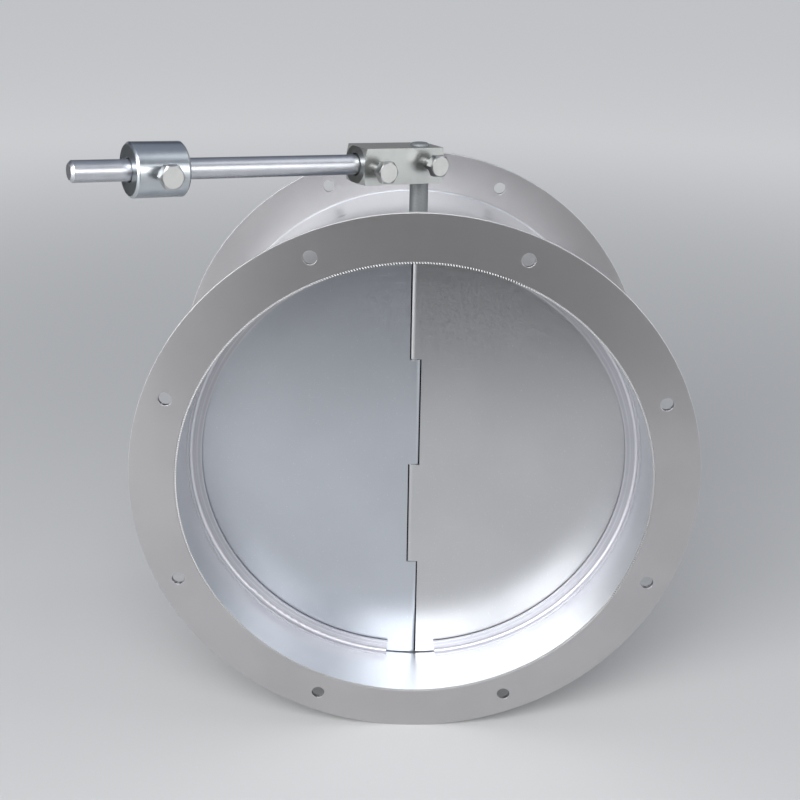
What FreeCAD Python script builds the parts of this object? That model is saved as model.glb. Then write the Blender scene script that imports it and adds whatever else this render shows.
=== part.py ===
import FreeCAD, Part
import os

import Sketcher

# Duct non-return valve for a 250 mm duct. A flanged sheet casing holds one upright shaft. Two
# half-disc leaves are rolled round that shaft in four interleaved knuckles and close against
# rolled stops. The right leaf is pinned to the shaft and the left one swings on it, and a lever
# with a sliding counterweight sits on the shaft's upper end.
# Frame: the origin is the centre of the inlet flange's face. +Y runs along the duct with the
# flow, +Z up along the shaft, +X to the right as seen from the inlet. Millimetres and degrees.

SIZES = [
    # casing
    ("duct_bore", 250.0, "inside diameter of the casing"),
    ("shell_sheet", 1.0, "sheet of the casing tube"),
    ("overall_length", 166.0, "inlet face to outlet face"),
    ("bead_radius", 1.2, "bead swaged behind each flange"),
    ("bead_rise", 0.8, "crown of that bead above the casing"),
    ("sheet_gap", 0.05, "gap between sheets and sleeves that are fitted to each other"),
    # flanges
    ("flange_width", 25.0, "casing's bore to the rim of both flanges"),
    ("flange_sheet", 2.5, "sheet of the flanges"),
    ("bolt_edge", 12.0, "rim to the middle of the bolt holes"),
    ("bolt_hole", 7.0, "hole for an M6 bolt"),
    ("first_hole_angle", 22.5, "of the first bolt hole above the horizontal"),
    # leaf stops
    ("stop_sheet", 1.2, "sheet of the stops"),
    ("stop_foot", 4.2, "width of the foot along the duct"),
    ("stop_lip", 8.0, "reach of the lip in from the casing"),
    ("stop_bend", 2.0, "inside radius of the stop's bend"),
    ("stop_end_gap", 14.5, "shaft line to each end of a stop"),
    ("seat_gap", 0.6, "lip to the face of a closed leaf"),
    # shaft
    ("shaft_diameter", 9.5, "drawn bar"),
    ("shaft_setback", 41.0, "inlet face to the shaft's axis"),
    ("shaft_tail", 3.1, "shaft's lower end below the retaining ring"),
    ("shaft_proud", 1.2, "shaft's upper end above the lever block"),
    ("end_chamfer", 0.8, "chamfer of bar ends"),
    ("groove_depth", 0.4, "depth of the ring grooves"),
    ("groove_width", 1.15, "width of the ring grooves"),
    # leaves
    ("leaf_gap", 0.6, "casing's bore to the rim of the leaves"),
    ("leaf_sheet", 0.6, "sheet of the leaves"),
    ("knuckle_clearance", 0.1, "radial gap between shaft and rolled knuckle"),
    ("knuckle_gap", 0.4, "gap along the shaft between two knuckles"),
    ("knuckle_relief", 0.3, "how much the end knuckle stands back from the leaf's rim"),
    ("wrap_angle", 300.0, "how far a knuckle runs round the shaft"),
    ("seam_gap", 0.3, "gap between a knuckle and the edge of the other leaf"),
    # pins that fix one leaf to the shaft
    ("pin_diameter", 3.0, "spring pin"),
    ("pin_bore", 1.6, "hollow of the spring pin"),
    ("pin_front", 4.0, "shaft axis to the pin's buried end"),
    ("pin_proud", 0.5, "pin end outside the knuckle"),
    # bearings
    ("boss_diameter", 20.0, "outside diameter of the bearing bosses"),
    ("boss_rise", 8.5, "boss above the casing on the shaft line"),
    ("boss_sink", 2.5, "how far the boss runs down beside the casing's crown"),
    ("bush_diameter", 13.5, "outside diameter of the bush sleeve"),
    ("bush_collar", 18.5, "outside diameter of the bush collar"),
    ("bush_collar_height", 1.5, "height of the bush collar"),
    ("running_gap", 0.05, "radial running gap of shaft in bush and block"),
    ("washer_diameter", 16.0, "outside diameter of the thrust washers"),
    ("washer_height", 0.8, "height of the thrust washers"),
    ("stack_gap", 0.05, "gap along the shaft between bush, washer and ring"),
    ("ring_width", 1.9, "radial width of the retaining rings"),
    ("ring_height", 1.0, "height of the retaining rings"),
    ("ring_opening", 50.0, "angle of the retaining ring's opening"),
    ("lug_diameter", 3.4, "ears of the retaining rings"),
    ("lug_hole", 1.4, "plier holes in the ears"),
    # lever block
    ("lever_stand", 19.15, "upper retaining ring to the lever block"),
    ("lever_turn_angle", 32.4, "lever's turn towards the inlet at rest"),
    ("lever_rise_angle", 4.0, "lever's rise towards the counterweight"),
    ("block_length", 45.5, "along the rod"),
    ("block_heel", 8.0, "shaft axis to the block's short end"),
    ("block_depth", 18.0, "across the block, along the clamp bolts"),
    ("block_height", 17.5, "along the shaft"),
    ("block_face", 18.4, "diameter left by the turned chamfer at the rod's end"),
    ("heel_face", 23.0, "diameter left by the turned chamfer at the heel"),
    ("chamfer_angle", 18.0, "turned chamfers against the block's end faces"),
    ("block_web", 3.8, "wall left between rod bore and shaft bore"),
    # rod
    ("rod_diameter", 9.5, "drawn bar"),
    ("rod_bore", 10.8, "bore for the rod in block and counterweight"),
    ("rod_inner", 12.5, "shaft axis to the rod's inner end"),
    ("rod_outer", 176.6, "shaft axis to the rod's free end"),
    ("rod_chamfer", 1.3, "chamfer of the rod's ends"),
    # counterweight
    ("weight_diameter", 24.2, "turned bar"),
    ("weight_length", 24.5, "along the rod"),
    ("weight_place", 138.6, "shaft axis to the counterweight's middle"),
    ("weight_chamfer", 1.0, "chamfer of both ends"),
    # clamp bolts, M6
    ("thread_diameter", 6.0, "clamp bolt"),
    ("thread_gap", 0.05, "radial gap between bolt and tapped hole"),
    ("across_flats", 10.0, "hexagon head"),
    ("head_height", 4.0, "hexagon head"),
    ("head_face", 9.2, "diameter of the head's turned face"),
    ("block_bolt_length", 10.0, "under the head, both bolts of the block"),
    ("weight_bolt_length", 12.0, "under the head"),
    ("bolt_tip_gap", 0.1, "bolt tip to the bar that it clamps"),
    ("bolt_tip_chamfer", 0.7, "chamfer of the bolt tips"),
    ("shaft_clamp_rise", 1.2, "shaft clamp bolt above the block's middle"),
    ("rod_clamp_drop", 1.2, "rod clamp bolt below the block's middle"),
    ("rod_clamp_inset", 7.8, "block's toe to the rod clamp bolt"),
]

HALF_TURN = 180
BOLT_HOLES = 8
KNUCKLES_PER_LEAF = 2

document = FreeCAD.newDocument("duct_non_return_valve")
sheet = document.addObject("Spreadsheet::Sheet", "sizes")
for row, (alias, number, note) in enumerate(SIZES, start=1):
    sheet.set(f"A{row}", note)
    sheet.set(f"B{row}", str(number))
    sheet.setAlias(f"B{row}", alias)
document.recompute()

# Radii, levels and planes that several pieces share, worked out from the sheet.
DUCT_R = "sizes.duct_bore / 2"
SHELL_R = f"({DUCT_R} + sizes.shell_sheet)"
RING_BORE_R = f"({SHELL_R} + sizes.sheet_gap)"
FLANGE_R = f"({DUCT_R} + sizes.flange_width)"
HOLE_PLACE = f"({FLANGE_R} - sizes.bolt_edge)"
SHAFT_R = "sizes.shaft_diameter / 2"
ROLL_IN = f"({SHAFT_R} + sizes.knuckle_clearance)"
ROLL_OUT = f"({ROLL_IN} + sizes.leaf_sheet)"
LEAF_R = f"({DUCT_R} - sizes.leaf_gap)"
LEAF_FRONT = f"(sizes.shaft_setback - {ROLL_OUT})"
PITCH = f"{LEAF_R} / 2"
SEAM = f"sqrt(pow({ROLL_OUT} + sizes.seam_gap; 2) - pow({ROLL_IN}; 2))"
BOSS_TOP = f"({SHELL_R} + sizes.boss_rise)"
BUSH_TOP = f"({BOSS_TOP} + sizes.bush_collar_height)"
WASHER_FOOT = f"({BUSH_TOP} + sizes.stack_gap)"
GROOVE_FOOT = f"({WASHER_FOOT} + sizes.washer_height)"
RING_FOOT = f"({GROOVE_FOOT} + sizes.stack_gap)"
RING_TOP = f"({RING_FOOT} + sizes.ring_height)"
GROOVE_R = f"({SHAFT_R} - sizes.groove_depth)"
BLOCK_TOE = "(sizes.block_length - sizes.block_heel)"
ROD_CLAMP_PLACE = f"({BLOCK_TOE} - sizes.rod_clamp_inset)"
ROD_R = "sizes.rod_diameter / 2"
LEVER_HEIGHT = f"({RING_TOP} + sizes.lever_stand + sizes.block_height / 2)"
LEVER_FRAME = (f"create(<<placement>>; create(<<vector>>; 0; sizes.shaft_setback; {LEVER_HEIGHT});"
               " create(<<rotation>>; 180 + sizes.lever_turn_angle; -sizes.lever_rise_angle; 0))")

ON_SHAFT = ("create(<<placement>>; create(<<vector>>; 0; sizes.shaft_setback; 0);"
            " create(<<rotation>>; 0; {}; 0))")
ON_DUCT = "create(<<placement>>; create(<<vector>>; 0; 0; 0); create(<<rotation>>; 0; {}; 0))"

parts = []


def size(expression):
    """The number that an expression on the sheet gives."""
    return float(sheet.evalExpression(expression))


def keep(piece, label):
    """Take a finished object as the part's sub-part of this name."""
    piece.Label = label
    parts.append(piece)
    return piece


def new_body(name):
    return document.addObject("PartDesign::Body", name)


def plane(body, role):
    return [datum for datum in body.Origin.OriginFeatures if datum.Role == role][0]


def new_sketch(body, role, name, lift="0"):
    """A sketch on one of the body's own planes, lifted along the plane's normal."""
    sketch = body.newObject("Sketcher::SketchObject", name)
    sketch.AttachmentSupport = [(plane(body, role), "")]
    sketch.MapMode = "FlatFace"
    sketch.setExpression("AttachmentOffset.Base.z", lift)
    return sketch


def dimension(sketch, kind, geometry, point, expression):
    """Bind one dimension from the sketch's origin, or a radius, to an expression."""
    number = size(expression)
    if kind == "Radius":
        index = sketch.addConstraint(Sketcher.Constraint(kind, geometry, number))
    else:
        index = sketch.addConstraint(Sketcher.Constraint(kind, -1, 1, geometry, point, number))
    sketch.setExpression(f"Constraints[{index}]", expression)


def arc_curve(start, end, centre, turn):
    """The arc about a centre from start to end, turn +1 against the clock and -1 with it."""
    circle_curve = Part.Circle(centre, FreeCAD.Vector(0, 0, 1), (start - centre).Length)
    first, last = (start, end) if turn > 0 else (end, start)
    return Part.ArcOfCircle(circle_curve, circle_curve.parameter(first), circle_curve.parameter(last))


def outline(sketch, corners, arcs=None):
    """A closed outline through corners given as expressions.

    arcs maps the number of the edge that leaves a corner to (centre x, centre y, radius, turn).
    """
    arcs = arcs or {}
    points = [FreeCAD.Vector(size(across), size(up), 0) for across, up in corners]
    ends = []
    for index, start in enumerate(points):
        end = points[(index + 1) % len(points)]
        if index in arcs:
            across, up, radius, turn = arcs[index]
            centre = FreeCAD.Vector(size(across), size(up), 0)
            edge = sketch.addGeometry(arc_curve(start, end, centre, turn))
            dimension(sketch, "Radius", edge, 0, radius)
            ends.append((edge, 1, 2) if turn > 0 else (edge, 2, 1))
        else:
            ends.append((sketch.addGeometry(Part.LineSegment(start, end)), 1, 2))
    for index, (edge, first, last) in enumerate(ends):
        following = ends[(index + 1) % len(ends)]
        sketch.addConstraint(Sketcher.Constraint("Coincident", edge, last, following[0], following[1]))
        dimension(sketch, "DistanceX", edge, first, corners[index][0])
        dimension(sketch, "DistanceY", edge, first, corners[index][1])


def circle(sketch, across, up, radius):
    centre = FreeCAD.Vector(size(across), size(up), 0)
    edge = sketch.addGeometry(Part.Circle(centre, FreeCAD.Vector(0, 0, 1), size(radius)))
    dimension(sketch, "Radius", edge, 0, radius)
    dimension(sketch, "DistanceX", edge, 3, across)
    dimension(sketch, "DistanceY", edge, 3, up)


def revolve(body, sketch, axis, angle="360 deg", kind="Revolution"):
    """Turn a sketch about its own H_Axis or V_Axis, half of the angle to each side."""
    feature = body.newObject(f"PartDesign::{kind}", f"{sketch.Name}_{kind.lower()}")
    feature.Profile = sketch
    feature.ReferenceAxis = (sketch, [axis])
    feature.setExpression("Angle", angle)
    feature.Midplane = True
    return feature


def pad(body, sketch, length, backwards=False):
    feature = body.newObject("PartDesign::Pad", f"{sketch.Name}_pad")
    feature.Profile = sketch
    feature.setExpression("Length", length)
    feature.Reversed = backwards
    return feature


def drill(body, sketch, both_ways=False, length=None):
    """Cut a sketch against its plane's normal, right through or to a length."""
    feature = body.newObject("PartDesign::Pocket", f"{sketch.Name}_pocket")
    feature.Profile = sketch
    if length:
        feature.setExpression("Length", length)
    else:
        feature.Type = "ThroughAll"
    if both_ways:
        feature.SideType = "Symmetric"
    return feature


def cylinder(name, radius, height, placement=None):
    piece = document.addObject("Part::Cylinder", name)
    piece.setExpression("Radius", radius)
    piece.setExpression("Height", height)
    if placement:
        piece.setExpression("Placement", placement)
    return piece


def at(across="0", along="0", up="0", roll="0"):
    """A placement expression: a point, and a turn about X."""
    return (f"create(<<placement>>; create(<<vector>>; {across}; {along}; {up});"
            f" create(<<rotation>>; 0; 0; {roll}))")


def cut(name, base, tool):
    piece = document.addObject("Part::Cut", name)
    piece.Base = base
    piece.Tool = tool
    return piece


def fuse(name, shapes):
    piece = document.addObject("Part::MultiFuse", name)
    piece.Shapes = shapes
    return piece


# Casing

def body_shell():
    """The sheet tube, level with both flange faces, with a swaged bead behind each flange."""
    body = new_body("body_shell")
    length = "sizes.overall_length"
    near = "(sizes.flange_sheet + sizes.sheet_gap)"
    sunk = f"({SHELL_R} + sizes.bead_rise - sizes.bead_radius)"
    half = "sqrt(pow(sizes.bead_radius; 2) - pow(sizes.bead_radius - sizes.bead_rise; 2))"
    near_far = f"({near} + 2 * {half})"
    corners = [(DUCT_R, "0"), (DUCT_R, length), (SHELL_R, length),
               (SHELL_R, f"{length} - {near}"), (SHELL_R, f"{length} - {near_far}"),
               (SHELL_R, near_far), (SHELL_R, near), (SHELL_R, "0")]
    arcs = {3: (sunk, f"{length} - {near} - {half}", "sizes.bead_radius", -1),
            5: (sunk, f"{near} + {half}", "sizes.bead_radius", -1)}
    section = new_sketch(body, "XY_Plane", "shell_section")
    outline(section, corners, arcs)
    revolve(body, section, "V_Axis")
    holes = new_sketch(body, "XY_Plane", "shell_bush_holes")
    circle(holes, "0", "sizes.shaft_setback", "sizes.bush_diameter / 2 + sizes.sheet_gap")
    drill(body, holes, both_ways=True)
    keep(body, "body_shell")


def flange(label, placement):
    """A flat drilled ring round the tube's end."""
    body = new_body(label)
    section = new_sketch(body, "XY_Plane", f"{label}_section")
    outline(section, [(RING_BORE_R, "0"), (FLANGE_R, "0"), (FLANGE_R, "sizes.flange_sheet"),
                      (RING_BORE_R, "sizes.flange_sheet")])
    revolve(body, section, "V_Axis")
    hole = new_sketch(body, "XZ_Plane", f"{label}_hole")
    circle(hole, f"{HOLE_PLACE} * cos(sizes.first_hole_angle)",
           f"{HOLE_PLACE} * sin(sizes.first_hole_angle)", "sizes.bolt_hole / 2")
    first = drill(body, hole, both_ways=True)
    pattern = body.newObject("PartDesign::PolarPattern", f"{label}_holes")
    pattern.Originals = [first]
    pattern.Axis = (plane(body, "Y_Axis"), [""])
    pattern.Occurrences = BOLT_HOLES
    body.Tip = pattern
    body.setExpression("Placement", placement)
    keep(body, label)


def stop(label, half_turns):
    """A rolled angle strip on the casing wall whose lip a closed leaf rests against."""
    body = new_body(label)
    wall = f"({DUCT_R} - sizes.sheet_gap)"
    seat = f"({LEAF_FRONT} - sizes.seat_gap)"
    bend = "(sizes.stop_bend + sizes.stop_sheet)"
    lip = f"({DUCT_R} - sizes.stop_lip)"
    front = f"({seat} - sizes.stop_foot)"
    corners = [(wall, front), (wall, f"{seat} - {bend}"),
               (f"{wall} - {bend}", seat), (lip, seat),
               (lip, f"{seat} - sizes.stop_sheet"), (f"{wall} - {bend}", f"{seat} - sizes.stop_sheet"),
               (f"{wall} - sizes.stop_sheet", f"{seat} - {bend}"), (f"{wall} - sizes.stop_sheet", front)]
    centre = (f"{wall} - {bend}", f"{seat} - {bend}")
    arcs = {1: (*centre, bend, 1), 5: (*centre, "sizes.stop_bend", -1)}
    section = new_sketch(body, "XY_Plane", f"{label}_section")
    outline(section, corners, arcs)
    revolve(body, section, "V_Axis", f"180 deg - 2 * asin(sizes.stop_end_gap / ({DUCT_R}))")
    body.setExpression("Placement", ON_DUCT.format(HALF_TURN * half_turns))
    keep(body, label)


# Bearings and what holds the shaft in them

def boss(label, half_turns):
    """A turned collar whose foot is cut to sit on the round casing."""
    foot = f"({SHELL_R} - sizes.boss_sink)"
    height = "(sizes.boss_rise + sizes.boss_sink)"
    stand = at(along="sizes.shaft_setback", up=foot)
    solid = cylinder(f"{label}_solid", "sizes.boss_diameter / 2", height, stand)
    bore = cylinder(f"{label}_bore", "sizes.bush_diameter / 2 + sizes.sheet_gap", height, stand)
    duct = cylinder(f"{label}_duct", RING_BORE_R, "sizes.overall_length", at(roll="-90"))
    tube = cut(f"{label}_tube", solid, bore)
    saddle = cut(label, tube, duct)
    saddle.setExpression("Placement", ON_DUCT.format(HALF_TURN * half_turns))
    keep(saddle, label)


def bush(label, half_turns):
    """A flanged bearing bush through boss and casing, its inner end level with the bore."""
    body = new_body(label)
    foot = DUCT_R
    bore = f"({SHAFT_R} + sizes.running_gap)"
    corners = [(bore, foot), ("sizes.bush_diameter / 2", foot), ("sizes.bush_diameter / 2", BOSS_TOP),
               ("sizes.bush_collar / 2", BOSS_TOP), ("sizes.bush_collar / 2", BUSH_TOP), (bore, BUSH_TOP)]
    section = new_sketch(body, "XZ_Plane", f"{label}_section")
    outline(section, corners)
    revolve(body, section, "V_Axis")
    body.setExpression("Placement", ON_SHAFT.format(HALF_TURN * half_turns))
    keep(body, label)


def washer(label, half_turns):
    body = new_body(label)
    bore = f"({SHAFT_R} + sizes.running_gap)"
    head = f"({WASHER_FOOT} + sizes.washer_height)"
    rim = "sizes.washer_diameter / 2"
    section = new_sketch(body, "XZ_Plane", f"{label}_section")
    outline(section, [(bore, WASHER_FOOT), (rim, WASHER_FOOT), (rim, head), (bore, head)])
    revolve(body, section, "V_Axis")
    body.setExpression("Placement", ON_SHAFT.format(HALF_TURN * half_turns))
    keep(body, label)


def retaining_ring(label, half_turns):
    """An open spring ring in its groove, with two drilled ears beside the opening."""
    bore = f"({GROOVE_R} + sizes.running_gap)"
    rim = f"({bore} + sizes.ring_width)"
    ring = cylinder(f"{label}_rim", rim, "sizes.ring_height")
    ring.setExpression("Angle", "360 - sizes.ring_opening")
    solids = [ring]
    holes = [cylinder(f"{label}_bore", bore, "sizes.ring_height")]
    reach = f"({bore} + sizes.lug_diameter / 2)"
    side_step = "sizes.lug_diameter / 4"
    ears = [(reach, side_step), (f"{reach} * cos(sizes.ring_opening) - {side_step} * sin(sizes.ring_opening)",
                                 f"-{reach} * sin(sizes.ring_opening) - {side_step} * cos(sizes.ring_opening)")]
    for number, (across, along) in enumerate(ears):
        solids.append(cylinder(f"{label}_ear{number}", "sizes.lug_diameter / 2", "sizes.ring_height",
                               at(across, along)))
        holes.append(cylinder(f"{label}_ear_hole{number}", "sizes.lug_hole / 2", "sizes.ring_height",
                              at(across, along)))
    clip = cut(label, fuse(f"{label}_solids", solids), fuse(f"{label}_holes", holes))
    on_shaft = ON_SHAFT.format(HALF_TURN * half_turns)
    clip.setExpression("Placement", f"{on_shaft} * {at(up=RING_FOOT)}")
    keep(clip, label)


# Shaft and leaves

def knuckle_span(number):
    """Foot and head, along the shaft, of one of a leaf's own two knuckles."""
    if number == 0:
        return f"({PITCH} + sizes.knuckle_gap / 2)", f"({LEAF_R} - sizes.knuckle_relief)"
    return f"(sizes.knuckle_gap / 2 - {PITCH})", "(-sizes.knuckle_gap / 2)"


def knuckle_middles():
    return [f"(({foot} + {head}) / 2)" for foot, head in map(knuckle_span, range(KNUCKLES_PER_LEAF))]


def shaft():
    body = new_body("shaft")
    chamfer = "sizes.end_chamfer"
    foot = f"(-{RING_TOP} - sizes.shaft_tail)"
    head = f"({LEVER_HEIGHT} + sizes.block_height / 2 + sizes.shaft_proud)"
    groove_head = f"({GROOVE_FOOT} + sizes.groove_width)"
    corners = [("0", foot), (f"{SHAFT_R} - {chamfer}", foot), (SHAFT_R, f"{foot} + {chamfer}"),
               (SHAFT_R, f"-{groove_head}"), (GROOVE_R, f"-{groove_head}"),
               (GROOVE_R, f"-{GROOVE_FOOT}"), (SHAFT_R, f"-{GROOVE_FOOT}"),
               (SHAFT_R, GROOVE_FOOT), (GROOVE_R, GROOVE_FOOT),
               (GROOVE_R, groove_head), (SHAFT_R, groove_head),
               (SHAFT_R, f"{head} - {chamfer}"), (f"{SHAFT_R} - {chamfer}", head), ("0", head)]
    section = new_sketch(body, "XZ_Plane", "shaft_section")
    outline(section, corners)
    revolve(body, section, "V_Axis")
    holes = new_sketch(body, "XZ_Plane", "shaft_pin_holes")
    for middle in knuckle_middles():
        circle(holes, "0", middle, "sizes.pin_diameter / 2")
    drill(body, holes, both_ways=True)
    body.setExpression("Placement", ON_SHAFT.format(0))
    keep(body, "shaft")


def leaf(label, half_turns, pinned):
    """A half disc of sheet with two knuckles rolled back from its straight edge.

    The other leaf is the same pressing turned half a turn about the duct's axis, so its
    knuckles fill the notches between these.
    """
    body = new_body(label)
    half_gap = "sizes.knuckle_gap / 2"
    upper = f"({PITCH} + {half_gap})"
    lower = f"({half_gap} - {PITCH})"
    corners = [(SEAM, f"-sqrt(pow({LEAF_R}; 2) - pow({SEAM}; 2))"), ("0", LEAF_R),
               ("0", upper), (SEAM, upper),
               (SEAM, f"-{half_gap}"), ("0", f"-{half_gap}"),
               ("0", lower), (SEAM, lower)]
    blank = new_sketch(body, "XZ_Plane", f"{label}_blank", f"-{LEAF_FRONT}")
    outline(blank, corners, {0: ("0", "0", LEAF_R, 1)})
    pad(body, blank, "sizes.leaf_sheet", backwards=True)
    axis = "sizes.shaft_setback"
    tip = "(sizes.wrap_angle + 90)"
    roll = [("0", f"{axis} - {ROLL_OUT}"), ("0", f"{axis} - {ROLL_IN}"),
            (f"{ROLL_IN} * cos({tip})", f"{axis} - {ROLL_IN} * sin({tip})"),
            (f"{ROLL_OUT} * cos({tip})", f"{axis} - {ROLL_OUT} * sin({tip})")]
    arcs = {1: ("0", axis, ROLL_IN, -1), 3: ("0", axis, ROLL_OUT, 1)}
    for number in range(KNUCKLES_PER_LEAF):
        foot, head = knuckle_span(number)
        section = new_sketch(body, "XY_Plane", f"{label}_knuckle{number}", foot)
        outline(section, roll, arcs)
        pad(body, section, f"{head} - {foot}")
    if pinned:
        holes = new_sketch(body, "XZ_Plane", f"{label}_pin_holes", f"-{axis}")
        for middle in knuckle_middles():
            circle(holes, "0", middle, "sizes.pin_diameter / 2")
        drill(body, holes)
    body.setExpression("Placement", ON_DUCT.format(HALF_TURN * half_turns))
    keep(body, label)


def leaf_pins():
    """Hollow spring pins, pressed in from behind through knuckle and shaft."""
    length = f"(sizes.pin_front + {ROLL_OUT} + sizes.pin_proud)"
    pins = []
    for number, middle in enumerate(knuckle_middles()):
        place = at(along="sizes.shaft_setback - sizes.pin_front", up=middle, roll="-90")
        bar = cylinder(f"leaf_pin_bar{number}", "sizes.pin_diameter / 2 - sizes.sheet_gap", length, place)
        hollow = cylinder(f"leaf_pin_hollow{number}", "sizes.pin_bore / 2", length, place)
        pins.append(cut(f"leaf_pin{number}", bar, hollow))
    group = document.addObject("Part::Compound", "leaf_pins")
    group.Links = pins
    keep(group, "leaf_pins")


# Lever, modelled along X from the shaft's axis, with the clamp bolts along Y

def lever_block():
    body = new_body("lever_block")
    bar = new_sketch(body, "YZ_Plane", "block_bar", "-sizes.block_heel")
    side = "sizes.block_depth / 2"
    crown = "sizes.block_height / 2"
    outline(bar, [(f"-{side}", f"-{crown}"), (side, f"-{crown}"), (side, crown), (f"-{side}", crown)])
    pad(body, bar, "sizes.block_length")
    corner = "sizes.block_height"
    for name, end, face, way in (("toe", BLOCK_TOE, "sizes.block_face / 2", "-"),
                                 ("heel", "(-sizes.block_heel)", "sizes.heel_face / 2", "+")):
        waste = new_sketch(body, "XY_Plane", f"block_{name}_chamfer")
        run = f"({corner} - {face}) * tan(sizes.chamfer_angle)"
        outline(waste, [(end, face), (f"{end} {way} {run}", corner), (end, corner)])
        revolve(body, waste, "H_Axis", kind="Groove")
    bore = new_sketch(body, "YZ_Plane", "block_rod_bore", BLOCK_TOE)
    circle(bore, "0", "0", "sizes.rod_bore / 2")
    drill(body, bore, length=f"{BLOCK_TOE} - {SHAFT_R} - sizes.block_web")
    upright = new_sketch(body, "XY_Plane", "block_shaft_bore")
    upright.AttachmentOffset = FreeCAD.Placement(FreeCAD.Vector(), FreeCAD.Vector(0, 1, 0), 0)
    upright.setExpression("AttachmentOffset.Rotation.Angle", "sizes.lever_rise_angle")
    circle(upright, "0", "0", f"{SHAFT_R} + sizes.running_gap")
    drill(body, upright, both_ways=True)
    taps = new_sketch(body, "XZ_Plane", "block_taps")
    tap = "sizes.thread_diameter / 2 + sizes.thread_gap"
    circle(taps, "0", "sizes.shaft_clamp_rise", tap)
    circle(taps, ROD_CLAMP_PLACE, "-sizes.rod_clamp_drop", tap)
    drill(body, taps)
    body.setExpression("Placement", LEVER_FRAME)
    keep(body, "lever_block")


def lever_rod():
    body = new_body("lever_rod")
    inner = "sizes.rod_inner"
    outer = "sizes.rod_outer"
    chamfer = "sizes.rod_chamfer"
    section = new_sketch(body, "XY_Plane", "rod_section")
    outline(section, [(inner, "0"), (outer, "0"), (outer, f"{ROD_R} - {chamfer}"),
                      (f"{outer} - {chamfer}", ROD_R), (f"{inner} + {chamfer}", ROD_R),
                      (inner, f"{ROD_R} - {chamfer}")])
    revolve(body, section, "H_Axis")
    body.setExpression("Placement", LEVER_FRAME)
    keep(body, "lever_rod")


def counterweight():
    body = new_body("counterweight")
    start = "(sizes.weight_place - sizes.weight_length / 2)"
    end = "(sizes.weight_place + sizes.weight_length / 2)"
    rim = "sizes.weight_diameter / 2"
    bore = "sizes.rod_bore / 2"
    chamfer = "sizes.weight_chamfer"
    section = new_sketch(body, "XY_Plane", "weight_section")
    outline(section, [(start, bore), (end, bore), (end, f"{rim} - {chamfer}"), (f"{end} - {chamfer}", rim),
                      (f"{start} + {chamfer}", rim), (start, f"{rim} - {chamfer}")])
    revolve(body, section, "H_Axis")
    taps = new_sketch(body, "XZ_Plane", "weight_tap")
    circle(taps, "sizes.weight_place", "0", "sizes.thread_diameter / 2 + sizes.thread_gap")
    drill(body, taps)
    body.setExpression("Placement", LEVER_FRAME)
    keep(body, "counterweight")


def clamp_bolt(label, along_rod, up, length, bar_radius):
    """A hexagon bolt: shank below its own Z zero, head above, tip on the bar that it clamps."""
    point = "sizes.bolt_tip_chamfer"
    radius = "sizes.thread_diameter / 2"
    hexagon = document.addObject("Part::Prism", f"{label}_hexagon")
    hexagon.Polygon = 6
    hexagon.setExpression("Circumradius", "sizes.across_flats / sqrt(3)")
    hexagon.setExpression("Height", "sizes.head_height")
    turned = document.addObject("Part::Cone", f"{label}_turned_face")
    turned.setExpression("Radius1", "sizes.head_face / 2 + sizes.head_height * sqrt(3)")
    turned.setExpression("Radius2", "sizes.head_face / 2")
    turned.setExpression("Height", "sizes.head_height")
    head = document.addObject("Part::Common", f"{label}_head")
    head.Base = hexagon
    head.Tool = turned
    shank = cylinder(f"{label}_shank", radius, f"{length} - {point}", at(up=f"{point} - {length}"))
    tip = document.addObject("Part::Cone", f"{label}_tip")
    tip.setExpression("Radius1", f"{radius} - {point}")
    tip.setExpression("Radius2", radius)
    tip.setExpression("Height", point)
    tip.setExpression("Placement", at(up=f"-{length}"))
    bolt = fuse(label, [head, shank, tip])
    seat = f"{bar_radius} + sizes.bolt_tip_gap + {length}"
    bolt.setExpression("Placement", f"{LEVER_FRAME} * {at(along_rod, seat, up, '-90')}")
    keep(bolt, label)


body_shell()
flange("inlet_flange", at())
flange("outlet_flange", "create(<<placement>>; create(<<vector>>; 0; sizes.overall_length; 0);"
                        " create(<<rotation>>; 180; 0; 0))")
for half_turns, side in enumerate(("right", "left")):
    stop(f"{side}_stop", half_turns)
    leaf(f"{side}_leaf", half_turns, pinned=side == "right")
for half_turns, end_name in enumerate(("upper", "lower")):
    boss(f"{end_name}_boss", half_turns)
    bush(f"{end_name}_bush", half_turns)
    washer(f"{end_name}_washer", half_turns)
    retaining_ring(f"{end_name}_retaining_ring", half_turns)
shaft()
leaf_pins()
lever_block()
lever_rod()
counterweight()
block_bolt = "sizes.block_bolt_length"
clamp_bolt("shaft_clamp_bolt", "0", "sizes.shaft_clamp_rise", block_bolt, SHAFT_R)
clamp_bolt("rod_clamp_bolt", ROD_CLAMP_PLACE, "-sizes.rod_clamp_drop", block_bolt, ROD_R)
clamp_bolt("weight_clamp_bolt", "sizes.weight_place", "0", "sizes.weight_bolt_length", ROD_R)

document.recompute()

for item in document.Objects:
    if "Invalid" in item.State or "Error" in item.State:
        raise RuntimeError(f"{item.Name} did not compute: {item.State}")
for part in parts:
    if part.Shape.isNull() or not part.Shape.isValid():
        raise RuntimeError(f"{part.Label} has no valid shape")

os.makedirs("parts", exist_ok=True)
for part in parts:
    part.Shape.exportStep(f"parts/{part.Label}.step")
    print(f"{part.Label:22s} solids {len(part.Shape.Solids)} volume {part.Shape.Volume:11.1f}")
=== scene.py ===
"""Duct non-return valve: finishes, cut edges, fine detail, floor, lamps and camera."""
import math

import bmesh
import bpy
from mathutils import Matrix, Vector


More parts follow.
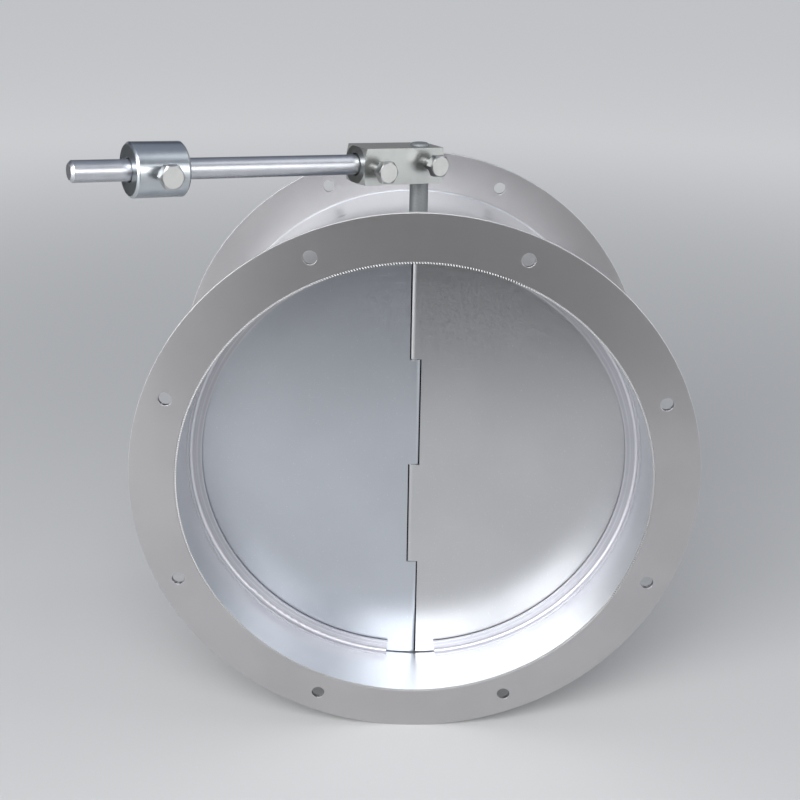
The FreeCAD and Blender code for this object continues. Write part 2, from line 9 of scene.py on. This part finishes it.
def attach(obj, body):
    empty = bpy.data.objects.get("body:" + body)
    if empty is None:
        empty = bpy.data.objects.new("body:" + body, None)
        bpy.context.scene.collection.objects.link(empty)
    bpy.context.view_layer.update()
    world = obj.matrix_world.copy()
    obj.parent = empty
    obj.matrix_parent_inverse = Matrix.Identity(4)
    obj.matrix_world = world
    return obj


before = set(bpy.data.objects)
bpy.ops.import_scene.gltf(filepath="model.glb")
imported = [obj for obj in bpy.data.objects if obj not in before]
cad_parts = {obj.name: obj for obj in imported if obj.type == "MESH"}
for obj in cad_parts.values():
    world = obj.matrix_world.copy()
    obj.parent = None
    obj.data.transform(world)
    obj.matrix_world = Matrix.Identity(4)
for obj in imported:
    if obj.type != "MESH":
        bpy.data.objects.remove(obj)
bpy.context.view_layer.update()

MM = 0.001

# The valve's driving sizes, as they are in the part
DUCT_RADIUS = 125 * MM
SHELL_SHEET = 1 * MM
FLANGE_RADIUS = 150 * MM
LENGTH = 166 * MM
FLOOR_HEIGHT = -FLANGE_RADIUS
LEVER_TURN = math.radians(32.4)
LEVER_RISE = math.radians(4.0)

# Along the rod, along its clamp bolts, and square to both
ROD_LINE = Vector((-math.cos(LEVER_TURN) * math.cos(LEVER_RISE),
                   -math.sin(LEVER_TURN) * math.cos(LEVER_RISE),
                   math.sin(LEVER_RISE)))
BOLT_LINE = Vector((math.sin(LEVER_TURN), -math.cos(LEVER_TURN), 0))
ROD_UP = ROD_LINE.cross(BOLT_LINE)

# Numbers of sockets: inputs that share their name with others of their node, then outputs
MAP_LOW, MAP_HIGH, MAP_TO_LOW, MAP_TO_HIGH = 1, 2, 3, 4
MIX_FIRST, MIX_SECOND = 6, 7
MIX_RESULT, SCALAR_RESULT = 2, 1
GENERATED, NORMAL, OBJECT = 0, 1, 3


class Value:
    """A socket that takes part in sums, differences, products and comparisons written as Python."""

    def __init__(self, sheet, socket):
        self.sheet = sheet
        self.socket = socket

    def _math(self, operation, *others):
        return self.sheet.node("ShaderNodeMath", {"operation": operation}, {
            index: other for index, other in enumerate((self, *others))})

    def __add__(self, other):
        return self._math("ADD", other)

    def __mul__(self, other):
        return self._math("MULTIPLY", other)

    def __rsub__(self, other):
        return self.sheet.node("ShaderNodeMath", {"operation": "SUBTRACT"}, {0: other, 1: self})

    def __gt__(self, other):
        return self._math("GREATER_THAN", other)


class Sheet:
    """A node tree, filled by one node-making method."""

    def __init__(self, tree):
        self.tree = tree
        tree.nodes.clear()

    def node(self, kind, settings=None, inputs=None, output=0):
        made = self.tree.nodes.new(kind)
        for name, setting in (settings or {}).items():
            setattr(made, name, setting)
        for key, value in (inputs or {}).items():
            self.feed(made.inputs[key], value)
        return Value(self, made.outputs[output]) if made.outputs else None

    def feed(self, socket, value):
        if isinstance(value, Value):
            self.tree.links.new(value.socket, socket)
        elif isinstance(value, tuple) and len(value) == 3 and socket.type == "RGBA":
            socket.default_value = (*value, 1)
        else:
            socket.default_value = value

    def axes(self, vector):
        split = self.node("ShaderNodeSeparateXYZ", None, {0: vector}).socket.node
        return [Value(self, split.outputs[index]) for index in range(3)]

    def vector(self, across, along, up):
        return self.node("ShaderNodeCombineXYZ", None, {0: across, 1: along, 2: up})

    def noise(self, vector, scale, detail=2.0):
        return self.node("ShaderNodeTexNoise", None, {"Vector": vector, "Scale": scale, "Detail": detail})

    def spread(self, value, low, high, to_low=0.0, to_high=1.0):
        return self.node("ShaderNodeMapRange", {"interpolation_type": "SMOOTHSTEP"},
                         {"Value": value, MAP_LOW: low, MAP_HIGH: high,
                          MAP_TO_LOW: to_low, MAP_TO_HIGH: to_high})

    def seen(self):
        """1 for what the camera, a mirror or a glass shows, 0 for what lights the object."""
        rays = self.node("ShaderNodeLightPath").socket.node.outputs
        mirrored, through = Value(self, rays["Is Glossy Ray"]), Value(self, rays["Is Transmission Ray"])
        return Value(self, rays["Is Camera Ray"]) + mirrored + through

    def mix(self, share, first, second):
        return self.node("ShaderNodeMix", {"data_type": "RGBA"},
                         {"Factor": share, MIX_FIRST: first, MIX_SECOND: second}, MIX_RESULT)


class Finish(Sheet):
    """One metal's material round a Principled shader."""

    def __init__(self, name, **constants):
        self.material = bpy.data.materials.new(name)
        self.material.use_nodes = True
        super().__init__(self.material.node_tree)
        surface = self.node("ShaderNodeBsdfPrincipled")
        self.shader = surface.socket.node
        self.node("ShaderNodeOutputMaterial", None, {"Surface": surface})
        for socket, value in constants.items():
            self.set(socket.replace("_", " "), value)
        self.place = self.node("ShaderNodeTexCoord", output=OBJECT)

    def set(self, socket, value):
        self.feed(self.shader.inputs[socket], value)

    def along(self, direction):
        """How far a point lies in a direction."""
        return self.node("ShaderNodeVectorMath", {"operation": "DOT_PRODUCT"},
                         {0: self.place, 1: tuple(direction)}, SCALAR_RESULT)

    def from_point(self, point):
        """Distance from a point."""
        return self.node("ShaderNodeVectorMath", {"operation": "DISTANCE"},
                         {0: self.place, 1: tuple(point)}, SCALAR_RESULT)

    def radius(self):
        """Distance from the duct's axis."""
        across, _, up = self.axes(self.place)
        return self.node("ShaderNodeVectorMath", {"operation": "LENGTH"},
                         {0: self.vector(across, 0.0, up)}, SCALAR_RESULT)

    def bump(self, height, strength, distance):
        self.set("Normal", self.node("ShaderNodeBump", None, {
            "Strength": strength, "Distance": distance, "Height": height}))


# Scales of the noises: features per metre
CLOUDS, GRAIN, PEEL = 18.0, 1200.0, 500.0
ROLLED_LINES, SCRATCHES, RUBBED_PATCHES, SPECKS = 700.0, 1500.0, 30.0, 1300.0
PLATE_CLOUDS, PLATE_LINES = 160.0, 700.0
# Detail of a noise with fine structure; the plain default is 2
FINE = 3.0
PEEL_HEIGHT = 20e-6


def satin(name, colour, roughness, cloud=0.03, grain=0.02, peel=0.03):
    """Galvanised sheet: a faint cloudy tone, a fine grain in its gloss and a slight orange peel."""
    finish = Finish(name, Metallic=1.0)
    shade = tuple(channel * (1 - 2 * cloud) for channel in colour)
    clouds = finish.noise(finish.place, CLOUDS, FINE)
    finish.tone = finish.mix(finish.spread(clouds, 0.35, 0.65), shade, colour)
    finish.set("Base Color", finish.tone)
    finish.gloss = finish.spread(finish.noise(finish.place, GRAIN), 0.3, 0.7,
                                 roughness - grain, roughness + grain)
    finish.set("Roughness", finish.gloss)
    finish.bump(finish.noise(finish.place, PEEL, FINE), peel, PEEL_HEIGHT)
    return finish


CUT_EDGE = (0.80, 0.80, 0.80)
# The tube end's plain tone away from the painted glint, and the painted shade between the knurl's teeth
PLAIN_EDGE = (0.50, 0.50, 0.505)
SHADE_BETWEEN_TEETH = (0.08, 0.08, 0.085)
# Where the knurl gets a painted glint on its teeth and painted shade between them: the middle of each
# stretch and the half angle that it covers, in degrees
GLINTING_KNURL_STRETCHES = ((88, 26), (-17, 14))


def knurl_glint(finish):
    """1 in the stretches of painted glint and painted shade on the knurl, 0 elsewhere."""
    glint_share = 0.0
    for middle, half in GLINTING_KNURL_STRETCHES:
        towards = (math.cos(math.radians(middle)), 0, math.sin(math.radians(middle)))
        reach = DUCT_RADIUS * math.cos(math.radians(half))
        glint_share = finish.spread(finish.along(towards), reach, 0.5 * (reach + DUCT_RADIUS)) + glint_share
    return glint_share


EDGE_ROUGHER = 0.3


def show_edge(finish, share, colour=CUT_EDGE):
    """Bare sheared metal where share is 1: pale and rough."""
    finish.set("Base Color", finish.mix(share, finish.tone, colour))
    finish.set("Roughness", finish.gloss + share * EDGE_ROUGHER)


# Two dark spots on the crown: place, and how dark each spot is
CROWN_DARK_SPOTS = (((-43 * MM, 124 * MM, 118.4 * MM), 0.55), ((43 * MM, 124 * MM, 118.4 * MM), 0.2))
SPOT_COLOUR, SPOT_INSIDE, SPOT_OUTSIDE = (0.20, 0.20, 0.22), 1.0 * MM, 4.0 * MM
TUBE_END = 0.15 * MM
FLANGE_RIM = 0.12 * MM


def casing_sheet():
    """The tube, with its bare ends, painted shade between the knurl's teeth and two faint dark spots on the
    crown.
    """
    finish = satin("casing_sheet", (0.70, 0.715, 0.74), 0.31)
    for place, dark in CROWN_DARK_SPOTS:
        spot_share = finish.spread(finish.from_point(place), SPOT_INSIDE, SPOT_OUTSIDE, dark, 0.0)
        finish.tone = finish.mix(spot_share, finish.tone, SPOT_COLOUR)
    _, along, _ = finish.axes(finish.place)
    ends = (TUBE_END - along > 0.0) + (along > LENGTH - TUBE_END)
    # Painted shade: the tube's end faces go dark between the teeth where the knurl has its painted glint
    show_edge(finish, ends, finish.mix(knurl_glint(finish), PLAIN_EDGE, SHADE_BETWEEN_TEETH))
    return finish.material


def flange_sheet():
    finish = satin("flange_sheet", (0.55, 0.54, 0.55), 0.34)
    show_edge(finish, finish.radius() > FLANGE_RADIUS - FLANGE_RIM)
    return finish.material


LINE_TONE = (0.56, 0.56, 0.60)
LINE_DEPTH = 0.12 * MM


def stop_sheet():
    """Rolled strip with fine lines along its length."""
    finish = satin("stop_sheet", (0.66, 0.66, 0.695), 0.46)
    _, along, _ = finish.axes(finish.place)
    lines = finish.noise(finish.vector(finish.radius(), along, 0.0), ROLLED_LINES)
    finish.set("Base Color", finish.mix(finish.spread(lines, 0.4, 0.6), LINE_TONE, finish.tone))
    finish.bump(lines, 0.25, LINE_DEPTH)
    return finish.material


# Painted shade for the dark gap in the leaves' seam
SEAM_SHADE = (0.02, 0.02, 0.025)
# A noise is drawn out along a direction by taking this share of the way in it
SCRATCH_SHARE, DRAWN_SHARE = 0.04, 0.03


def leaf_sheet(name, colour, roughness):
    """Smooth sheet with rubbed level scratches, a few bright specks and painted shade in the seam."""
    finish = satin(name, colour, roughness, cloud=0.02, grain=0.03)
    across, along, up = finish.axes(finish.place)
    streaks = finish.noise(finish.vector(across * SCRATCH_SHARE, along, up), SCRATCHES, FINE)
    patches = finish.noise(finish.place, RUBBED_PATCHES)
    rubbed = finish.spread(streaks, 0.62, 0.75) * finish.spread(patches, 0.5, 0.7)
    specks = finish.spread(finish.noise(finish.place, SPECKS, 1.0), 0.71, 0.78)
    # The front of the knuckles, where the sheet turns in towards the seam; it is painted near black as
    # shade in the gap
    sideways, ahead, _ = finish.axes(finish.node("ShaderNodeTexCoord", output=NORMAL))
    turned_in = finish.spread(sideways * sideways, 0.13, 0.22) * (0.0 - ahead > 0.5)
    clean = finish.mix(rubbed * 0.25 + specks * 0.7, finish.tone, CUT_EDGE)
    finish.set("Base Color", finish.mix(turned_in, clean, SEAM_SHADE))
    finish.set("Roughness", finish.gloss + rubbed * 0.06)
    finish.bump(finish.noise(finish.place, PEEL, FINE) + rubbed * 0.5, 0.04, PEEL_HEIGHT)
    return finish.material


def bright_zinc(name, colour, roughness, drawn=None):
    """Bright zinc plate over turned steel, or over steel drawn in a direction."""
    finish = Finish(name, Metallic=1.0)
    shade = tuple(channel * 0.95 for channel in colour)
    clouds = finish.noise(finish.place, PLATE_CLOUDS, FINE)
    finish.set("Base Color", finish.mix(finish.spread(clouds, 0.35, 0.65), shade, colour))
    place = finish.place
    if drawn:
        place = finish.vector(finish.along(drawn) * DRAWN_SHARE, finish.along(BOLT_LINE),
                              finish.along(ROD_UP))
    finish.set("Roughness", finish.spread(finish.noise(place, PLATE_LINES, 1.0), 0.3, 0.7,
                                          roughness - 0.015, roughness + 0.02))
    return finish.material


casing, flanges, stops = casing_sheet(), flange_sheet(), stop_sheet()
bolts = bright_zinc("bolt_plate", (0.52, 0.52, 0.515), 0.30)
boss = satin("boss_steel", (0.60, 0.61, 0.63), 0.34).material
bush = satin("bush_iron", (0.56, 0.56, 0.57), 0.38).material
washer = bright_zinc("washer_steel", (0.66, 0.67, 0.69), 0.28)
spring = bright_zinc("spring_steel", (0.16, 0.16, 0.17), 0.34)
FINISHES = {
    "body_shell": casing, "inlet_flange": flanges, "outlet_flange": flanges,
    "right_stop": stops, "left_stop": stops,
    "right_leaf": leaf_sheet("leaf_sheet_right", (0.60, 0.605, 0.62), 0.32),
    "left_leaf": leaf_sheet("leaf_sheet_left", (0.58, 0.61, 0.66), 0.34),
    "lever_block": bright_zinc("block_plate", (0.46, 0.475, 0.465), 0.31),
    "lever_rod": bright_zinc("rod_plate", (0.60, 0.61, 0.645), 0.35, ROD_LINE),
    "counterweight": bright_zinc("weight_plate", (0.56, 0.60, 0.63), 0.29),
    "shaft_clamp_bolt": bolts, "rod_clamp_bolt": bolts, "weight_clamp_bolt": bolts,
    "shaft": satin("shaft_steel", (0.36, 0.38, 0.39), 0.62, cloud=0.06, grain=0.05).material,
    "upper_boss": boss, "lower_boss": boss, "upper_bush": bush, "lower_bush": bush,
    "upper_washer": washer, "lower_washer": washer, "leaf_pins": spring,
    "upper_retaining_ring": spring, "lower_retaining_ring": spring,
}
# Rounding of the edges of the sheets and round bars, in millimetres
EDGES = {
    "inlet_flange": 0.22, "outlet_flange": 0.22, "body_shell": 0.12, "right_leaf": 0.08, "left_leaf": 0.08,
    "lever_rod": 0.2, "counterweight": 0.2, "shaft": 0.15,
}
MERGE_WITHIN = 0.002 * MM
SHARP_ANGLE = math.radians(28)


def round_edges(piece, width):
    """Merge the node's loose triangles, round its sharp edges and keep its flat faces flat."""
    weld = piece.modifiers.new("merge", "WELD")
    weld.merge_threshold = MERGE_WITHIN
    bevel = piece.modifiers.new("edges", "BEVEL")
    bevel.width = width
    bevel.segments = 2
    bevel.limit_method = "ANGLE"
    bevel.angle_limit = SHARP_ANGLE
    bevel.use_clamp_overlap = False
    normals = piece.modifiers.new("normals", "WEIGHTED_NORMAL")
    normals.weight = 100
    normals.keep_sharp = False


for node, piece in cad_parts.items():
    piece.data.materials.clear()
    piece.data.materials.append(FINISHES[node])
    if node in EDGES:
        round_edges(piece, EDGES[node] * MM)


def add(name, form):
    """A new object from a finished bmesh."""
    mesh = bpy.data.meshes.new(name)
    form.to_mesh(mesh)
    form.free()
    piece = bpy.data.objects.new(name, mesh)
    bpy.context.scene.collection.objects.link(piece)
    return piece


# The tube's ends are knurled over the flange rings. Share and lean of a tooth are parts of one step.
KNURL_TEETH = 570
TOOTH_HEIGHT = 0.12 * MM
TOOTH_LEAN = 0.25
TOOTH_SHARE = 0.5
KNURL_INNER, KNURL_OUTER = DUCT_RADIUS + 0.05 * MM, DUCT_RADIUS + SHELL_SHEET - 0.02 * MM
RIDGE_INSET = 0.15 * MM


def edge_knurl(name, plane, outwards):
    """A ring of low slanted teeth on the tube's end."""
    form = bmesh.new()
    step = 2 * math.pi / KNURL_TEETH

    def point(radius, turns, rise):
        angle = step * turns
        return form.verts.new((radius * math.cos(angle), plane + outwards * rise, radius * math.sin(angle)))

    for tooth in range(KNURL_TEETH):
        middle = tooth + 0.5 * TOOTH_SHARE
        foot = [point(KNURL_INNER, tooth, 0), point(KNURL_INNER, tooth + TOOTH_SHARE, 0),
                point(KNURL_OUTER, tooth + TOOTH_SHARE + TOOTH_LEAN, 0),
                point(KNURL_OUTER, tooth + TOOTH_LEAN, 0)]
        ridge = [point(KNURL_INNER + RIDGE_INSET, middle, TOOTH_HEIGHT),
                 point(KNURL_OUTER - RIDGE_INSET, middle + TOOTH_LEAN, TOOTH_HEIGHT)]
        for corners in ((foot[0], foot[1], ridge[0]), (foot[1], foot[2], ridge[1], ridge[0]),
                        (foot[2], foot[3], ridge[1]), (foot[3], foot[0], ridge[0], ridge[1])):
            form.faces.new(corners)
    bmesh.ops.recalc_face_normals(form, faces=form.faces[:])
    piece = add(name, form)
    piece.data.materials.append(knurl_finish)
    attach(piece, "casing")


def knurl_sheet():
    finish = satin("knurl_sheet", CUT_EDGE, 0.45)
    # Painted glint: the teeth are pale in two stretches and plain grey elsewhere
    finish.set("Base Color", finish.mix(knurl_glint(finish), PLAIN_EDGE, CUT_EDGE))
    return finish.material


knurl_finish = knurl_sheet()
edge_knurl("inlet_edge_knurl", 0.0, -1)
edge_knurl("outlet_edge_knurl", LENGTH, 1)

# The floor fades from its paint to one even tone with the distance from the valve
FLOOR_HALF = 9.0
FLOOR_PAINT = (0.55, 0.55, 0.545)
FAR_FLOOR = (0.42, 0.42, 0.415)
FADE_STARTS, FADE_ENDS = 0.35, 2.2


def floor():
    form = bmesh.new()
    bmesh.ops.create_grid(form, x_segments=1, y_segments=1, size=FLOOR_HALF,
                          matrix=Matrix.Translation((0, 0, FLOOR_HEIGHT)))
    piece = add("floor", form)
    finish = Finish("floor_paint", Base_Color=FLOOR_PAINT, Roughness=0.7, Specular_IOR_Level=0.3)
    away = finish.spread(finish.from_point((0, 0, FLOOR_HEIGHT)), FADE_STARTS, FADE_ENDS)
    finish.set("Emission Color", finish.mix(finish.seen() * away, (0.0, 0.0, 0.0), FAR_FLOOR))
    finish.set("Emission Strength", 1.0)
    finish.material.cycles.emission_sampling = "NONE"
    piece.data.materials.append(finish.material)


def dark_cloth(name, *rows):
    """A dark cloth through rows of two points each, which only the metal's sheen shows."""
    form = bmesh.new()
    corners = [[form.verts.new(point) for point in row] for row in rows]
    for first, second in zip(corners, corners[1:]):
        form.faces.new((first[0], first[1], second[1], second[0]))
    piece = add(name, form)
    piece.visible_camera = False
    piece.visible_diffuse = False
    piece.visible_shadow = False
    piece.data.materials.append(cloth)


floor()
cloth = Finish("cloth", Base_Color=(0.015, 0.015, 0.018), Roughness=0.9).material
# In front of the valve, where the flange and the upper half of the leaves mirror it. Its upright part
# stands in for a dark figure there; the part lying on the floor is painted shade on the floor, seen only in
# reflections
CLOTH_LEFT, CLOTH_RIGHT, CLOTH_NEAR, CLOTH_FAR = -0.30, 0.42, -0.47, -1.0
CLOTH_HEIGHT, CLOTH_TOP = FLOOR_HEIGHT + 2 * MM, 0.17
dark_cloth("front_cloth_and_floor_shade", *([(CLOTH_LEFT, along, up), (CLOTH_RIGHT, along, up)] for along, up in (
    (CLOTH_NEAR, CLOTH_HEIGHT), (CLOTH_FAR, CLOTH_HEIGHT), (CLOTH_FAR, CLOTH_TOP))))
# On the left, where the toe of the block and the end of the counterweight mirror it
dark_cloth("left_cloth", *([(-0.6, 0.12, up), (-0.6, 0.52, up)] for up in (-0.07, 0.22)))

# Lamps: place, width and height in metres, and watts
LAMPS = {
    "over_front": ((0, -1.3, 1.3), 1.0, 1.0, 18.5),
    "over_front_left": ((-0.8, -1.1, 1.1), 0.8, 0.8, 10.5),
    "left_front": ((-1.3, -1.2, 0.5), 1.0, 0.8, 17.5),
    "right_front": ((1.3, -1.2, 0.5), 1.0, 0.8, 7.5),
    "low_front": ((0.42, -1.5, 0.42), 0.6, 0.35, 0.8),
    "over_right": ((1.1, 0.1, 1.2), 1.0, 1.0, 3.6),
    "right_low": ((1.2, -0.55, 0.0), 0.6, 0.5, 0.6),
    "left_low": ((-1.4, 0.6, 0.05), 0.8, 0.5, 0.8),
}
AIM = Vector((0, 0.06, 0.02))


def soft_lamp(name, place, width, height, power):
    data = bpy.data.lights.new(name, "AREA")
    data.shape = "RECTANGLE"
    data.size = width
    data.size_y = height
    data.energy = power
    lamp = bpy.data.objects.new(name, data)
    lamp.location = place
    lamp.rotation_euler = (AIM - Vector(place)).to_track_quat("-Z", "Y").to_euler()
    bpy.context.scene.collection.objects.link(lamp)


for lamp_name, lamp in LAMPS.items():
    soft_lamp(lamp_name, *lamp)

# The room's tones, and between which rises above the horizon (0) one passes into the next
HORIZON_COLOUR = (0.035, 0.045, 0.07)
SKY_COLOUR = (0.27, 0.30, 0.36)
FLOOR_TONE_FULL, FLOOR_TONE_ENDS = 0.20, 0.32
SKY_STARTS, SKY_FULL = 0.42, 0.80


def surroundings():
    """A soft pale room overhead, dark lower down; what is seen of it near the horizon is floor-toned."""
    world = bpy.data.worlds.new("studio")
    world.use_nodes = True
    tree = Sheet(world.node_tree)
    _, _, up = tree.axes(tree.node("ShaderNodeTexCoord", output=GENERATED))
    floor_tone = tree.spread(up, FLOOR_TONE_FULL, FLOOR_TONE_ENDS, 1.0, 0.0)
    low = tree.mix(tree.seen() * floor_tone, HORIZON_COLOUR, FAR_FLOOR)
    tone = tree.mix(tree.spread(up, SKY_STARTS, SKY_FULL), low, SKY_COLOUR)
    background = tree.node("ShaderNodeBackground", None, {"Color": tone})
    tree.node("ShaderNodeOutputWorld", None, {"Surface": background})
    bpy.context.scene.world = world


surroundings()

# Camera at the photograph's viewing angle
CAMERA_PLACE = Vector((-12.812, -516.483, 271.143)) * MM
CAMERA_YAW = math.radians(0.48978)
CAMERA_PITCH = math.radians(22.82391)
CAMERA_ROLL = math.radians(0.80614)
CAMERA_LENS = 49.748
SENSOR = 36.0
NEAREST, FARTHEST = 0.01, 50


def camera():
    forward = Vector((math.sin(CAMERA_YAW) * math.cos(CAMERA_PITCH),
                      math.cos(CAMERA_YAW) * math.cos(CAMERA_PITCH), -math.sin(CAMERA_PITCH)))
    level = Vector((math.cos(CAMERA_YAW), -math.sin(CAMERA_YAW), 0))
    upright = level.cross(forward)
    right = math.cos(CAMERA_ROLL) * level + math.sin(CAMERA_ROLL) * upright
    top = math.cos(CAMERA_ROLL) * upright - math.sin(CAMERA_ROLL) * level
    data = bpy.data.cameras.new("camera")
    data.lens = CAMERA_LENS
    data.sensor_width = SENSOR
    data.clip_start, data.clip_end = NEAREST, FARTHEST
    piece = bpy.data.objects.new("camera", data)
    turn = Matrix((right, top, -forward)).transposed().to_4x4()
    piece.matrix_world = Matrix.Translation(CAMERA_PLACE) @ turn
    bpy.context.scene.collection.objects.link(piece)
    bpy.context.scene.camera = piece


camera()
bpy.context.scene.view_settings.view_transform = "Standard"
